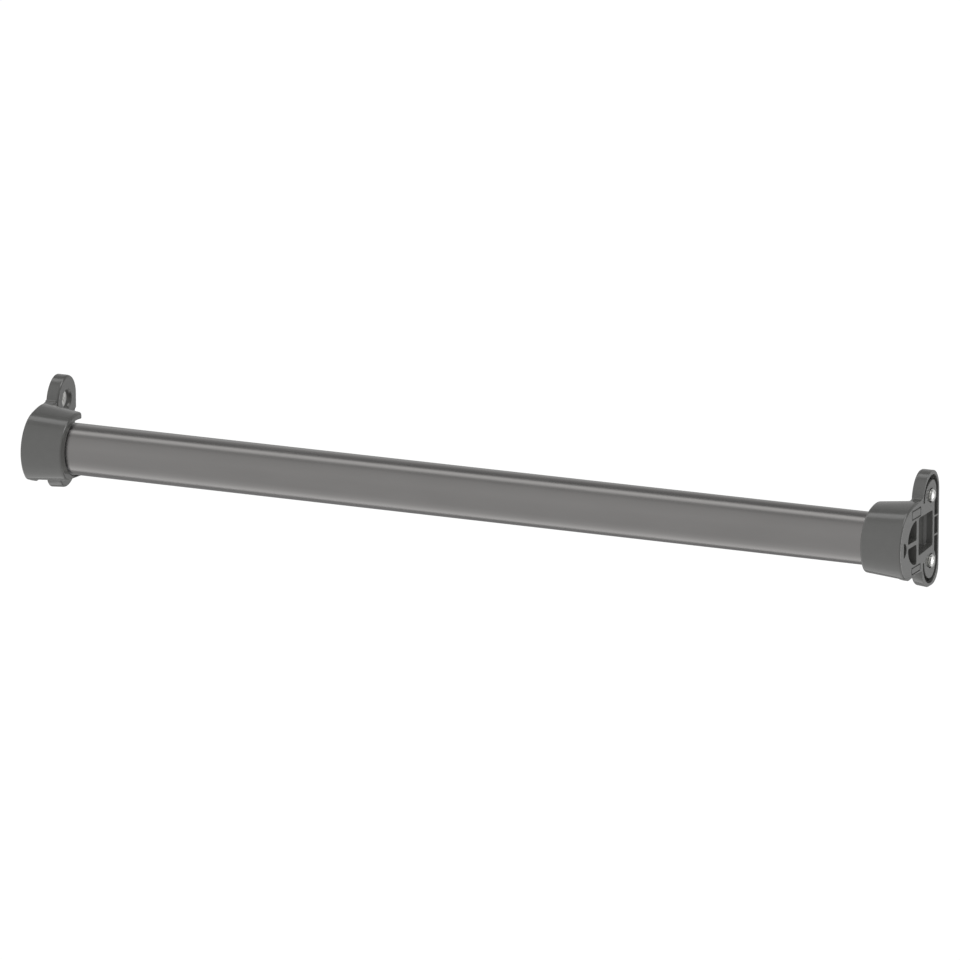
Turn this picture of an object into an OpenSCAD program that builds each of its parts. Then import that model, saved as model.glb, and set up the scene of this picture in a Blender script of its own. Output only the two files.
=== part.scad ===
// Wardrobe clothes rail: a round tube that lies in two moulded end brackets,
// each screwed to a side panel with two screws.
// X runs along the rail, +Y points to the back of the wardrobe and +Z up.
// The origin is the middle of the tube's axis. All sizes are in millimetres.

/* [Wardrobe] */
// Clear width between the two side panels
clear_width = 464; // [300:1:1000]
// Distance between the two screws of a bracket, to suit the panel's row of holes
screw_spacing = 32; // [31:0.5:34]

/* [Rail] */
// Outside diameter of the tube
rail_diameter = 25.4; // [24.6:0.2:26.4]
// Thickness of the tube's wall
rail_wall = 1.2; // [0.8:0.1:2]
// Gap between each end of the tube and the floor of its socket
end_gap = 0.3; // [0.2:0.1:1]

/* [Socket] */
// How far the socket stands out from the panel
socket_depth = 21.3; // [17:0.1:26]
// Play between the tube and the side of its socket
socket_play = 1; // [0.7:0.1:1.3]
// Gap under the tube where it lies in the socket
rest_gap = 0.3; // [0.2:0.05:0.5]
// Thickness of the socket's wall at its mouth
socket_wall = 4.5; // [3.8:0.1:5.2]
// Extra thickness of the socket's front wall
front_growth = 0.5; // [0.2:0.1:0.8]
// Growth of the socket's radius from its mouth to the panel
socket_taper = 2; // [1:0.1:2.6]
// Thickness of the lower lip at the mouth, under the tube
lip_thickness = 0.9; // [0.6:0.1:1.5]
// Drop of the flat underside from the mouth to the panel
underside_drop = 1; // [0.6:0.1:1.8]
// How far the upper lip reaches behind the tube's axis
upper_lip_reach = 4.4; // [3:0.1:6]
// How far the lower lip reaches behind the tube's axis
lower_lip_reach = 8.8; // [5:0.1:9.2]
// Rounding of the socket's edge at the panel
panel_edge_round = 1; // [0.5:0.1:1.4]
// Rounding of the mouth's outer edge
mouth_round = 1.4; // [0.4:0.1:1.8]
// Chamfer of the mouth's inner edge
mouth_chamfer = 0.6; // [0.3:0.1:0.7]
// Rounding of the upper lip's lower edge, behind the tube
nose_round = 1.2; // [0.6:0.1:1.6]

/* [Plate] */
// Thickness of the screw plate and of the socket's floor
plate_thickness = 6.4; // [5.9:0.1:8]
// Width of the plate from front to back
plate_width = 19.1; // [18.8:0.1:21]
// Distance from the screws' line to the plate's front edge
plate_lead = 9.1; // [8.6:0.1:9.8]
// Set-back of the screws behind the tube's rear side
screw_set_back = 5.5; // [5:0.1:7]
// Height of the middle of the two screws above the tube's axis
screw_rise = 3.5; // [3:0.1:4]
// Height of the plate's top above the upper screw
plate_rise = 11.8; // [11.3:0.1:13]
// Height of the plate's half-oval head
head_oval = 11.6; // [10:0.1:12]
// Draft of the plate's edge: how far it draws in from the panel to the tube's side
plate_draft = 0.2; // [0.1:0.1:0.6]
// Depth of the plate's foot below the lower screw
plate_drop = 12.2; // [11.8:0.1:13]
// Radius of the foot's front corner
foot_front_round = 7.6; // [5:0.1:7.6]
// Radius of the foot's rear corner
foot_rear_round = 11.2; // [10:0.1:11.2]
// Rounding of the plate's edges on the tube's side
plate_edge_round = 1.2; // [0.6:0.1:1.4]
// Length of the neck that leads the top of the socket into the plate
neck_length = 5; // [4:0.1:7]
// Rise of the neck's top towards the plate
neck_rise = 0.6; // [0.2:0.1:1]
// Radius of the fillet between the neck and the plate's front edge
neck_fillet = 1.6; // [1:0.1:3]

/* [Back of the plate] */
// Depth of the moulding's hollows
core_depth = 4.3; // [2:0.1:4.6]
// Radius of the upright corners of the hollows
core_corner = 1; // [0.4:0.1:1.2]
// Thickness of the rim round the plate
rim_width = 1.3; // [1:0.1:1.5]
// Width of the groove inside the rim
groove_width = 2.8; // [1.6:0.1:3.2]
// Thickness of the round wall that the grooves leave about each counterbore
boss_wall = 0.9; // [0.7:0.1:1.1]
// Width of the groove behind the rear bar
rear_groove_width = 4.4; // [4.1:0.1:5]
// Thickness of the rear bar, between the rear groove and the window
rear_bar = 2.1; // [1.6:0.1:2.6]
// Thickness of the two small ribs across the rear groove
cross_rib = 0.9; // [0.6:0.1:1.3]
// Distance between the two small ribs
cross_rib_spacing = 9.2; // [7:0.1:11]
// Height of the middle of the two small ribs above the tube's axis
cross_rib_rise = 3.6; // [3:0.1:5]
// Wall between the tube's outside radius and the round hollow
round_core_inset = 2.1; // [1.9:0.1:3.1]
// Thickness of the level rib across the round hollow
level_rib = 2.2; // [1.4:0.1:2.8]
// Thickness of the upright bar between the round hollow and the window
upright_bar = 2.6; // [1.8:0.1:3.2]
// Distance of the upright bar's front side behind the tube's axis
upright_bar_place = 0.4; // [0:0.1:1]
// Land between the upper screw's centre and the window
window_head_land = 7.8; // [7.2:0.1:8.6]
// Land between the lower screw's centre and the window's rear corner
window_sill_land = 7.3; // [6.8:0.1:8]
// Fall of the window's sill from its rear corner to its front corner
window_sill_fall = 1.4; // [0.8:0.1:1.8]
// Bevel between the floor of the window and its rear side
window_bevel = 1.1; // [0.4:0.1:1.6]
// Radius of the half-round hollow in the front wall
half_round_radius = 3.5; // [2.4:0.1:3.8]
// Distance of its flat side in front of the tube's surface
half_round_place = 2.7; // [2.2:0.1:3]
// Length of the two marking fields, which are bare
field_length = 11.2; // [8:0.1:11.6]
// Height of the upper marking field
upper_field_height = 4.6; // [3:0.1:4.8]
// Height of the lower marking field
lower_field_height = 3.6; // [2.6:0.1:3.8]
// Land between the round hollow and the upper field
upper_field_land = 1.1; // [0.9:0.1:1.4]
// Land between the round hollow and the lower field
lower_field_land = 0.7; // [0.5:0.1:0.8]
// Depth of the marking fields
field_depth = 0.5; // [0.2:0.1:0.8]
// Radius of the corners of the marking fields
field_corner = 0.5; // [0.2:0.1:0.8]

/* [Screws] */
// Outside diameter of the screw's thread
screw_diameter = 6.3; // [6:0.1:6.4]
// Diameter of the plain neck between the head and the thread
neck_diameter = 5; // [4.4:0.1:5.4]
// Diameter of the screw's head
head_diameter = 9; // [8.6:0.1:9.4]
// Height of the screw's head
head_height = 2; // [1.6:0.1:2.4]
// Depth of the head's top below the face of the plate
head_depth = 2; // [1.6:0.1:2.3]
// How far the screw stands out of the bracket towards the panel
screw_reach = 1.6; // [1.2:0.1:14]
// Gap between the thread and the bracket's hole
thread_gap = 0.35; // [0.3:0.05:0.5]
// Gap between the head and the side of its counterbore
head_gap = 0.8; // [0.4:0.1:1]
// Rounding of the head's upper edge
head_round = 0.7; // [0.4:0.1:1]
// Chamfer at the screw's tip
tip_chamfer = 0.5; // [0.3:0.1:0.8]
// Width of the cross recess in the head, tip to tip
recess_width = 4.8; // [4:0.1:5.4]
// Width of each slot of the cross recess
recess_slot = 1.1; // [0.8:0.1:1.4]
// Depth of the cross recess
recess_depth = 1.2; // [0.8:0.1:1.4]

/* [Hidden] */

// How far a cut runs past the face that it opens
overrun = plate_thickness / 4;
// Larger than any part of a bracket, for the cuts that have no far side
beyond = plate_rise + plate_drop + screw_spacing;
arc_steps = 8;
fine = 96;

panel_x = clear_width / 2;
rail_radius = rail_diameter / 2;
rail_length = clear_width - 2 * (plate_thickness + end_gap);

// The socket's middle lies above the tube's axis, because the tube rests at its bottom
bore_radius = rail_radius + socket_play;
bore_z = socket_play - rest_gap;
mouth_radius = bore_radius + socket_wall;
panel_radius = mouth_radius + socket_taper;
underside_mouth_z = bore_z - bore_radius - lip_thickness;
underside_panel_z = underside_mouth_z - underside_drop;
core_radius = rail_radius - round_core_inset;

screw_y = rail_radius + screw_set_back;
upper_screw_z = screw_rise + screw_spacing / 2;
lower_screw_z = screw_rise - screw_spacing / 2;
plate_front_y = screw_y - plate_lead;
plate_rear_y = plate_front_y + plate_width;
plate_middle_y = plate_front_y + plate_width / 2;
plate_top_z = upper_screw_z + plate_rise;
plate_foot_z = lower_screw_z - plate_drop;

thread_radius = screw_diameter / 2;
head_radius = head_diameter / 2;
hole_radius = thread_radius + thread_gap;
counterbore_radius = head_radius + head_gap;
seat_x = plate_thickness - head_depth - head_height;
head_top_x = seat_x + head_height;

// Points of an oval about a centre, from angle a to angle b
function oval(y, z, half_width, half_height, a, b) =
    [for (i = [0:arc_steps]) [y + half_width * cos(a + (b - a) * i / arc_steps),
                              z + half_height * sin(a + (b - a) * i / arc_steps)]];

// Points of an arc about a centre, from angle a to angle b
function arc(y, z, radius, a, b) = oval(y, z, radius, radius, a, b);

// Points that round the corner at p, between the neighbours before and after it
function round_corner(p, before, after, radius) =
    let (u = radius * (before - p) / norm(before - p), v = radius * (after - p) / norm(after - p))
    [for (i = [0:arc_steps]) let (t = i / arc_steps) p + (1 - t) * (1 - t) * u + t * t * v];

// Points of an outline whose corners are all rounded
function round_corners(points, radius) =
    let (count = len(points))
    [for (i = [0:count - 1])
        each round_corner(points[i], points[(i + count - 1) % count], points[(i + 1) % count], radius)];

// Radius of the socket's cone at a distance from the panel
function cone_radius(x) = panel_radius - socket_taper * x / socket_depth;

// Draws a flat shape in the Y and Z directions and thickens it along X
module slab(from_x, to_x) {
    translate([from_x, 0, 0])
        rotate([90, 0, 90])
            linear_extrude(to_x - from_x)
                children();
}

// Turns an outline of radius against distance from the panel about the X direction
module turned() {
    rotate([0, 90, 0])
        rotate_extrude($fn = fine)
            children();
}

// Outline of the screw plate, drawn in by an inset: a half-oval head and an uneven foot
module plate_outline(inset) {
    half_width = plate_width / 2 - inset;
    half_height = head_oval - inset;
    polygon(concat(
        oval(plate_middle_y, plate_top_z - head_oval, half_width, half_height, 0, 90),
        oval(plate_middle_y, plate_top_z - head_oval, half_width, half_height, 90, 180),
        arc(plate_front_y + foot_front_round, plate_foot_z + foot_front_round,
            foot_front_round - inset, 180, 270),
        arc(plate_rear_y - foot_rear_round, plate_foot_z + foot_rear_round,
            foot_rear_round - inset, 270, 360)));
}

// Plate with a drafted edge, rounded on the tube's side
module plate() {
    hull() {
        slab(0, plate_edge_round)
            plate_outline(0);
        for (a = [0, 30, 60, 90])
            slab(plate_edge_round, plate_thickness - plate_edge_round * (1 - sin(a)))
                plate_outline(plate_draft + plate_edge_round * (1 - cos(a)));
    }
}

// Neck that rises from the top of the socket and curves up into the plate's front edge
module neck() {
    start_y = plate_front_y - neck_length;
    start_z = sqrt(pow(cone_radius(plate_thickness), 2) - pow(start_y + front_growth, 2));
    end_z = start_z + neck_rise;
    slab(0, plate_thickness - plate_edge_round)
        polygon(concat(
            [[start_y, 0], [start_y, start_z]],
            arc(plate_front_y - neck_fillet, end_z + neck_fillet, neck_fillet, 270, 360),
            [[screw_y, end_z + neck_fillet], [screw_y, 0]]));
}

// Socket as a solid cone with rounded edges and a flat underside
module socket_body() {
    edge_radius = cone_radius(panel_edge_round);
    lip_radius = cone_radius(socket_depth - mouth_round);
    difference() {
        translate([0, -front_growth, 0])
            turned()
                polygon(concat(
                    [[0, 0]],
                    arc(edge_radius - panel_edge_round, panel_edge_round, panel_edge_round, -90, 0),
                    arc(lip_radius - mouth_round, socket_depth - mouth_round, mouth_round, 0, 90),
                    [[0, socket_depth]]));
        rotate([90, 0, 0])
            linear_extrude(beyond, center = true)
                polygon([[0, underside_panel_z],
                         [socket_depth, underside_mouth_z],
                         [socket_depth + overrun, underside_mouth_z],
                         [socket_depth + overrun, -beyond],
                         [-overrun, -beyond],
                         [-overrun, underside_panel_z]]);
    }
}

// Space for the tube: a round bore, open to the back between the two lips
module socket_space() {
    slab(plate_thickness, socket_depth + overrun)
        polygon(concat(
            [[0, bore_z],
             [lower_lip_reach, bore_z],
             [lower_lip_reach, -beyond],
             [beyond, -beyond],
             [beyond, beyond],
             [upper_lip_reach, beyond]],
            arc(upper_lip_reach - nose_round, bore_z + bore_radius + nose_round, nose_round, 0, -90),
            [[0, bore_z + bore_radius]]));
    translate([plate_thickness, 0, bore_z])
        rotate([0, 90, 0])
            cylinder(socket_depth, r = bore_radius, $fn = fine);
    translate([socket_depth - mouth_chamfer, 0, bore_z])
        rotate([0, 90, 0])
            cylinder(2 * mouth_chamfer, bore_radius, bore_radius + 2 * mouth_chamfer, $fn = fine);
}

// Hole and counterbore for one screw
module screw_hole(z) {
    translate([-overrun, screw_y, z])
        rotate([0, 90, 0])
            cylinder(plate_thickness + 2 * overrun, r = hole_radius, $fn = fine);
    translate([seat_x, screw_y, z])
        rotate([0, 90, 0])
            cylinder(plate_thickness, r = counterbore_radius, $fn = fine);
}

// Groove inside the rim, round the head, down the back and round the foot
module rim_groove() {
    inner = rim_width + groove_width;
    rear_y = plate_rear_y - rim_width;
    difference() {
        union() {
            difference() {
                plate_outline(rim_width);
                translate([screw_y - plate_middle_y, 0])
                    plate_outline(inner);
            }
            translate([rear_y - rear_groove_width, lower_screw_z + rim_width])
                square([rear_groove_width, screw_spacing - inner]);
        }
        translate([0, lower_screw_z])
            square([plate_front_y + inner, screw_spacing - rim_width]);
        for (side = [-1, 1])
            translate([rear_y - rear_groove_width,
                       cross_rib_rise + (side * cross_rib_spacing - cross_rib) / 2])
                square([rear_groove_width, cross_rib]);
        for (z = [lower_screw_z, upper_screw_z])
            translate([screw_y, z])
                circle(counterbore_radius + boss_wall, $fn = fine);
    }
}

// Round hollow behind the end of the tube: two halves with a level rib between them,
// each with a flat side at the upright bar and rounded corners
module round_core() {
    near = level_rib / 2 + core_corner;
    far = core_radius - core_corner;
    side_y = upright_bar_place - core_corner;
    low = [-sqrt(far * far - near * near), near];
    high = [side_y, sqrt(far * far - side_y * side_y)];
    low_angle = atan2(low[1], low[0]);
    high_angle = atan2(high[1], high[0]);
    translate([0, bore_z])
        for (half = [0, 1])
            mirror([0, half])
                polygon(concat(
                    arc(low[0], low[1], core_corner, 270, low_angle),
                    arc(0, 0, core_radius, low_angle, high_angle),
                    arc(high[0], high[1], core_corner, high_angle, 0),
                    arc(side_y, near, core_corner, 0, -90)));
}

// Window between the upright bar and the rear bar, with a bevel at the rear of its floor
module window() {
    front_y = upright_bar_place + upright_bar;
    rear_y = plate_rear_y - rim_width - rear_groove_width - rear_bar;
    difference() {
        slab(-overrun, core_depth)
            polygon(round_corners(
                [[front_y, lower_screw_z + window_sill_land - window_sill_fall],
                 [rear_y, lower_screw_z + window_sill_land],
                 [rear_y, upper_screw_z - window_head_land],
                 [front_y, upper_screw_z - window_head_land]], core_corner));
        linear_extrude(beyond, center = true)
            polygon([[core_depth - window_bevel - overrun, rear_y + overrun],
                     [core_depth + overrun, rear_y - window_bevel - overrun],
                     [core_depth + overrun, rear_y + overrun]]);
    }
}

// Half-round hollow in the thick front wall
module half_round_core() {
    flat_y = -rail_radius - half_round_place;
    intersection() {
        translate([flat_y, 0])
            circle(half_round_radius, $fn = fine);
        translate([flat_y, -half_round_radius])
            square([half_round_radius, 2 * half_round_radius]);
    }
}

// One bare marking field, from its lower edge
module marking_field(base_z, height) {
    half = field_length / 2;
    polygon(round_corners(
        [[-half, base_z], [half, base_z], [half, base_z + height], [-half, base_z + height]],
        field_corner));
}

// Two shallow marking fields above and below the round hollow
module marking_fields() {
    marking_field(bore_z + core_radius + upper_field_land, upper_field_height);
    marking_field(bore_z - core_radius - lower_field_land - lower_field_height, lower_field_height);
}

// One bracket, from its panel at zero to its mouth
module bracket() {
    difference() {
        union() {
            plate();
            neck();
            difference() {
                socket_body();
                socket_space();
            }
        }
        for (z = [lower_screw_z, upper_screw_z])
            screw_hole(z);
        slab(-overrun, core_depth) {
            rim_groove();
            round_core();
            half_round_core();
        }
        window();
        slab(-overrun, field_depth)
            marking_fields();
    }
}

// One screw, with its head on the floor of the counterbore
module screw(z) {
    color("lightgray")
        translate([0, screw_y, z])
            difference() {
                turned()
                    polygon(concat(
                        [[0, -screw_reach],
                         [thread_radius - tip_chamfer, -screw_reach],
                         [thread_radius, tip_chamfer - screw_reach],
                         [thread_radius, 0],
                         [neck_diameter / 2, 0],
                         [neck_diameter / 2, seat_x],
                         [head_radius, seat_x]],
                        arc(head_radius - head_round, head_top_x - head_round, head_round, 0, 90),
                        [[0, head_top_x]]));
                translate([head_top_x - recess_depth, 0, 0])
                    for (turn = [0, 90])
                        rotate([turn, 0, 0])
                            translate([0, -recess_slot / 2, -recess_width / 2])
                                cube([2 * recess_depth, recess_slot, recess_width]);
            }
}

// Places a child of the left side, or its mirror image on the right side
module on_left() {
    translate([-panel_x, 0, 0])
        children();
}

module on_right() {
    mirror([1, 0, 0])
        on_left()
            children();
}

module rail_tube() {
    color("dimgray")
        translate([-rail_length / 2, 0, 0])
            rotate([0, 90, 0])
                difference() {
                    cylinder(rail_length, r = rail_radius, $fn = fine);
                    translate([0, 0, -overrun])
                        cylinder(rail_length + 2 * overrun, r = rail_radius - rail_wall, $fn = fine);
                }
}

module left_bracket() {
    color("darkslategray")
        on_left()
            bracket();
}

module right_bracket() {
    color("darkslategray")
        on_right()
            bracket();
}

module left_upper_screw() {
    on_left()
        screw(upper_screw_z);
}

module left_lower_screw() {
    on_left()
        screw(lower_screw_z);
}

module right_upper_screw() {
    on_right()
        screw(upper_screw_z);
}

module right_lower_screw() {
    on_right()
        screw(lower_screw_z);
}

rail_tube();
left_bracket();
right_bracket();
left_upper_screw();
left_lower_screw();
right_upper_screw();
right_lower_screw();
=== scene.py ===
"""Dresses the clothes rail: a coated tube, two moulded brackets and four zinc screws.

Lengths are in metres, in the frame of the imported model: X runs along the rail, +Y to the
back of the wardrobe and +Z up, with the origin at the middle of the tube's axis.
"""

import math

import bmesh
import bpy
from bpy.props import FloatProperty, FloatVectorProperty, IntProperty, PointerProperty
from mathutils import Matrix, Vector


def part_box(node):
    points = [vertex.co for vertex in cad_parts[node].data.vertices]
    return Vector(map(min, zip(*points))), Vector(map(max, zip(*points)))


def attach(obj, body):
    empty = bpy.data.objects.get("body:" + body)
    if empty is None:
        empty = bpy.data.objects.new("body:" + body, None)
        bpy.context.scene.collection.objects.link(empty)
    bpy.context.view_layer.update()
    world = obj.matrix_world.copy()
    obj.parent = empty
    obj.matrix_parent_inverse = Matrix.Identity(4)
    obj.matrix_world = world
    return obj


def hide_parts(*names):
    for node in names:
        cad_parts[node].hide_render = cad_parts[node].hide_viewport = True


bl_info = {
    "name": "Wardrobe Clothes Rail",
    "version": (1, 0, 0),
    "blender": (4, 5, 0),
    "location": "View3D > Sidebar > Clothes Rail",
    "description": "Builds the coated tube, the moulded end brackets, the screws and the stage",
    "category": "Add Mesh",
}

MM = 0.001
SIDES = ("left", "right")
LEVELS = ("upper", "lower")
# Points closer than this are one point
WELD = 0.002 * MM
# How far a cut runs past the face that it opens
OVERRUN = 1.0 * MM
# Faces round the sockets, the screw holes, the screws and the floor
SOCKET_FACES = 128
HOLE_FACES = 96
SCREW_FACES = 72
FLOOR_FACES = 96

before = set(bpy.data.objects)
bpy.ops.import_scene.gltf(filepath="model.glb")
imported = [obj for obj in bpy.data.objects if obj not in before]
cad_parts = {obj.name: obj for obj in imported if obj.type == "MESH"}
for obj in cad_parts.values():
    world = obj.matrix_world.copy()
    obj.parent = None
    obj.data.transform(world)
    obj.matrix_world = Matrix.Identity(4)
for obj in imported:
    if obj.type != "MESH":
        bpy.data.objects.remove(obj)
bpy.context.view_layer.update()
TUBE_LOW, TUBE_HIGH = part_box("rail_tube")
BRACKET_LOW, BRACKET_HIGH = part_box("left_bracket")
SCREW_LOW, SCREW_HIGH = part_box("left_upper_screw")
LOWER_SCREW_LOW, LOWER_SCREW_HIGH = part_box("left_lower_screw")


def length(value, description):
    """A length property, in metres, given here in millimetres."""
    return FloatProperty(
        default=value * MM, min=0.0, precision=5, unit="LENGTH", description=description
    )


def colour(value, description):
    """A colour property."""
    return FloatVectorProperty(
        default=value, size=3, min=0.0, max=1.0, subtype="COLOR", description=description
    )


def share(value, description):
    """A property from nought to one."""
    return FloatProperty(
        default=value, min=0.0, max=1.0, subtype="FACTOR", description=description
    )


def titled(group):
    """Names each property of a group after its key."""
    for key, deferred in group.__annotations__.items():
        deferred.keywords["name"] = key.replace("_", " ").title()
    return group


@titled
class TubeSettings(bpy.types.PropertyGroup):
    """Sizes and colour of the tube."""

    wall: length(1.2, "Thickness of the tube's wall")
    end_round: length(0.3, "Rounding of the sawn ends")
    segments: IntProperty(default=192, min=24, description="Faces round the tube")
    coat_colour: colour((0.272, 0.265, 0.26), "Colour of the satin coat")
    coat_roughness: share(0.24, "Roughness of the satin coat")
    # Painted shade: the dark colour that the coat is given in narrow gaps, where shade falls
    gap_colour: colour((0.02, 0.02, 0.02), "Colour of the coat in narrow gaps")
    gap_reach: length(3.5, "Reach of a gap's shade")
    gap_start: share(0.63, "Openness where a gap starts to show")
    gap_full: share(0.51, "Openness where a gap shows fully")


@titled
class BracketSettings(bpy.types.PropertyGroup):
    """Sizes and colour of the two moulded brackets."""

    plate_thickness: length(6.4, "Thickness of the screw plate")
    plate_width: length(20.2, "Width of the plate")
    plate_lead: length(10.2, "Distance of the front edge from the screws")
    head_lean: length(1.5, "Distance of the head's top behind the middle")
    head_front_oval: length(14.0, "Height of the oval in front of the head's top")
    head_rear_oval: length(10.6, "Height of the oval behind the head's top")
    plate_edge_round: length(1.5, "Rounding of the plate's front edge")
    rear_edge_round: length(0.3, "Rounding of the plate's rear edge")
    foot_front_width: length(8.0, "Width of the foot's front corner")
    foot_front_height: length(7.0, "Height of the foot's front corner")
    foot_rear_round: length(8.3, "Radius of the foot's rear corner")
    foot_lift: length(4.4, "Extra height of the corners on the tube's side")
    foot_turn: length(1.2, "Extra width of the front corner on the tube's side")
    bore_play: length(1.0, "Play between the tube and its socket")
    rest_gap: length(0.3, "Gap under the tube where it rests")
    socket_wall: length(4.5, "Wall of the socket at its mouth")
    socket_taper: length(2.0, "Growth of the socket towards the panel")
    front_growth: length(0.5, "Extra thickness of the front wall")
    shoulder_dip: length(0.75, "Flattening of the front shoulder")
    crown_growth: length(0.55, "Growth of the crown towards the panel")
    lip_thickness: length(1.0, "Thickness of the lower lip")
    underside_drop: length(0.9, "Drop of the underside towards the panel")
    underside_round: length(5.2, "Radius between the wall and the underside")
    underside_growth: length(2.8, "Growth of that radius towards the mouth")
    underside_rear_round: length(2.5, "Rounding of the underside's rear corner")
    underside_lean: length(1.0, "Fall of the underside to its rear")
    mouth_round: length(1.4, "Rounding of the mouth's outer edge")
    panel_edge_round: length(1.0, "Rounding of the socket's edge at the panel")
    mouth_chamfer: length(0.6, "Chamfer of the mouth's inner edge")
    upper_reach: length(4.4, "Reach of the upper lip behind the axis")
    nose_round: length(0.5, "Rounding of the upper lip's lower edge")
    lower_reach: length(10.2, "Reach of the lower lip behind the axis")
    relief_depth: length(0.8, "Depth of the relief behind the tube")
    relief_slope: length(2.4, "Height of the slope at the relief's ends")
    neck_length: length(5.0, "Length of the neck")
    neck_rise: length(0.6, "Rise of the neck's top towards the plate")
    neck_fillet: length(1.2, "Radius between the neck and the plate")
    neck_ledge: length(0.4, "Width of the ledge where the neck ends")
    sill_drop: length(1.4, "Drop of the sill under the socket's edge")
    sill_reach: share(0.45, "Reach of the sill to the front, as a share of the radius")
    sill_rise: share(0.8, "Rise of the sill to the rear, as a share of its drop")
    sill_setback: share(0.4, "Distance from the panel, as a share of its drop")
    core_depth: length(4.3, "Depth of the hollows in the back")
    core_corner: length(1.0, "Radius of the hollows' corners")
    core_inset: length(2.1, "Wall between the tube and the round hollow")
    level_rib: length(2.2, "Thickness of the rib across the round hollow")
    upright_place: length(0.4, "Front side of the upright bar")
    upright_bar: length(2.6, "Thickness of the upright bar")
    rim_width: length(1.3, "Thickness of the rim at the rear")
    front_rim: length(0.7, "Thickness of the rim at the front")
    head_rim: length(2.1, "Thickness of the rim over the head's groove")
    foot_rim: length(1.4, "Thickness of the rim under the foot's groove")
    front_groove: length(1.5, "Width of the grooves at the front")
    groove_width: length(2.4, "Width of the grooves round the head and the foot")
    foot_groove_oval: length(12.7, "Height of the half-oval at the foot's groove")
    head_groove_reach: length(2.2, "Reach of the head's groove below the screw")
    foot_groove_reach: length(0.8, "Reach of the foot's groove above the screw")
    boss_wall: length(0.9, "Wall between a counterbore and the groove")
    rear_groove: length(4.4, "Width of the groove behind the rear bar")
    rear_bar: length(2.1, "Thickness of the rear bar")
    cross_rib: length(0.9, "Thickness of the small ribs")
    cross_rib_spacing: length(9.2, "Distance between the small ribs")
    cross_rib_rise: length(3.6, "Height of the middle of the small ribs")
    window_head: length(7.8, "Land between the upper screw and the window")
    window_sill: length(7.3, "Land between the lower screw and the window")
    window_fall: length(1.4, "Fall of the window's sill to the front")
    window_bevel: length(1.1, "Bevel between the window's floor and its rear side")
    half_round: length(3.5, "Radius of the hollow in the front wall")
    half_round_place: length(2.7, "Distance of its flat side from the tube")
    field_length: length(11.2, "Length of the bare marking fields")
    upper_field: length(4.6, "Height of the upper field")
    lower_field: length(3.6, "Height of the lower field")
    upper_land: length(1.1, "Land between the round hollow and the upper field")
    lower_land: length(0.7, "Land between the round hollow and the lower field")
    field_depth: length(0.6, "Depth of the line round the marking fields")
    field_line: length(0.6, "Width of that line")
    field_corner: length(0.5, "Radius of the fields' corners")
    hole_radius: length(3.5, "Radius of the screw holes")
    counterbore_gap: length(0.6, "Gap round the screw's head")
    head_depth: length(2.0, "Depth of the head below the plate's face")
    voxel: length(0.16, "Grid of the remesh")
    smooth_share: share(0.5, "Strength of each smoothing")
    smooth_passes: IntProperty(default=2, min=0, description="Number of smoothings")
    plastic_colour: colour((0.096, 0.096, 0.092), "Colour of the moulding")
    plastic_roughness: share(0.17, "Roughness of the moulding")


@titled
class ScrewSettings(bpy.types.PropertyGroup):
    """Sizes and colour of the four screws."""

    thread_radius: length(3.15, "Outside radius of the thread")
    thread_depth: length(0.75, "Depth of the thread's groove")
    thread_pitch: length(1.3, "Pitch of the thread")
    neck_radius: length(2.5, "Radius of the neck under the head")
    tip_chamfer: length(0.5, "Chamfer of the tip")
    head_height: length(2.0, "Height of the head")
    head_round: length(0.6, "Rounding of the head's edge")
    head_dome: length(0.4, "Rise of the head's middle")
    tip_dome: length(0.3, "Rise of the tip's middle")
    recess_width: length(4.8, "Width of the cross recess")
    recess_slot: length(1.1, "Width of each slot")
    recess_depth: length(1.2, "Depth of the recess")
    recess_taper: share(0.6, "Share of its width at its floor")
    zinc_colour: colour((0.86, 0.86, 0.84), "Colour of the zinc plating")
    zinc_roughness: share(0.22, "Roughness of the zinc plating")


@titled
class StageSettings(bpy.types.PropertyGroup):
    """Camera, floor and light."""

    azimuth: FloatProperty(
        default=math.radians(24.61), subtype="ANGLE", description="Angle of the camera from the front"
    )
    elevation: FloatProperty(
        default=math.radians(14.23), subtype="ANGLE", description="Angle of the camera over the rail"
    )
    distance: length(4830.0, "Distance of the camera from its aim")
    lens: FloatProperty(default=375.4, description="Focal length, millimetres")
    sensor: FloatProperty(default=36.0, description="Width of the sensor, millimetres")
    side_light: share(0.45, "Share of the light from the right side")
    floor_drop: length(350.0, "Depth of the floor below the bracket's foot")
    floor_radius: length(9000.0, "Radius of the floor")
    floor_colour: colour((0.05, 0.05, 0.05), "Colour that the floor reflects")
    floor_roughness: share(0.9, "Roughness of the floor")
    floor_glow: share(1.0, "Light of the floor, just white in the picture")


def settings():
    """The add-on's settings in the scene."""
    return bpy.context.scene.clothes_rail


def oval(y, z, half_width, half_height, start, end, steps):
    """Points of an oval in the Y and Z directions, from one angle to another in degrees."""
    points = []
    for i in range(steps + 1):
        a = math.radians(start + (end - start) * i / steps)
        points.append((y + half_width * math.cos(a), z + half_height * math.sin(a)))
    return points


def arc(y, z, radius, start, end, steps):
    """Points of an arc, given like those of an oval."""
    return oval(y, z, radius, radius, start, end, steps)


def circle(radius, count):
    """Points of a circle about the X axis."""
    return arc(0.0, 0.0, radius, 0, 360, count)[:-1]


def at(x, outline):
    """An outline of Y and Z points, placed at an X."""
    return [(x, y, z) for y, z in outline]


def quarter_turn(steps):
    """Sines and cosines of even steps from 0 to 90 degrees."""
    turns = [math.radians(90 * i / steps) for i in range(steps + 1)]
    return [(math.sin(a), math.cos(a)) for a in turns]


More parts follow.
